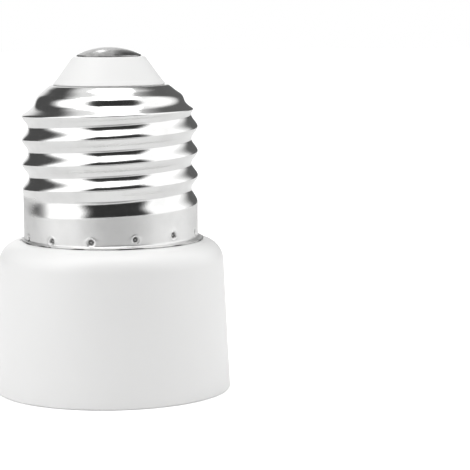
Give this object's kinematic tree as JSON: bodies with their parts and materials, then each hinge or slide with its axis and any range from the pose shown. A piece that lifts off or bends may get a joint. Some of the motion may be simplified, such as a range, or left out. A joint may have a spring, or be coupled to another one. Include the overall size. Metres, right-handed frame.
{
  "type": "light socket outlet adapter",
  "caption": "Round white adapter that screws into a lamp holder by a threaded metal cap and takes a two-pin plug in its flat outlet face.",
  "frame": {"origin": "centre of the flat outlet face, which is the plane the part stands on", "axes": "+Z along the screw cap's axis, from the outlet face towards the centre contact; the two plug slots lie side by side along X"},
  "size_m": [0.0351, 0.035, 0.0508],
  "materials": {
    "white_plastic": "smooth moulded white plastic with a soft gloss",
    "white_plastic_face": "white moulded plastic, slightly less glossy than the housing",
    "plated_shell": "bright plated rolled sheet",
    "tip_white": "white insulating plastic",
    "contact_metal": "satin plated dome",
    "spring_brass": "rolled spring brass strip",
    "copper": "bare copper wire",
    "sleeve_live": "black wire insulation",
    "sleeve_neutral": "white wire insulation"
  },
  "bodies": {
    "root": {"housing": "white_plastic", "outlet_cover": "white_plastic_face", "screw_shell": "plated_shell", "tip_insulator": "tip_white", "centre_contact": "contact_metal", "live_contact": "spring_brass", "neutral_contact": "spring_brass", "live_wire_conductor": "copper", "neutral_wire_conductor": "copper", "live_wire_sleeve": "sleeve_live", "neutral_wire_sleeve": "sleeve_neutral"}
  },
  "joints": []
}
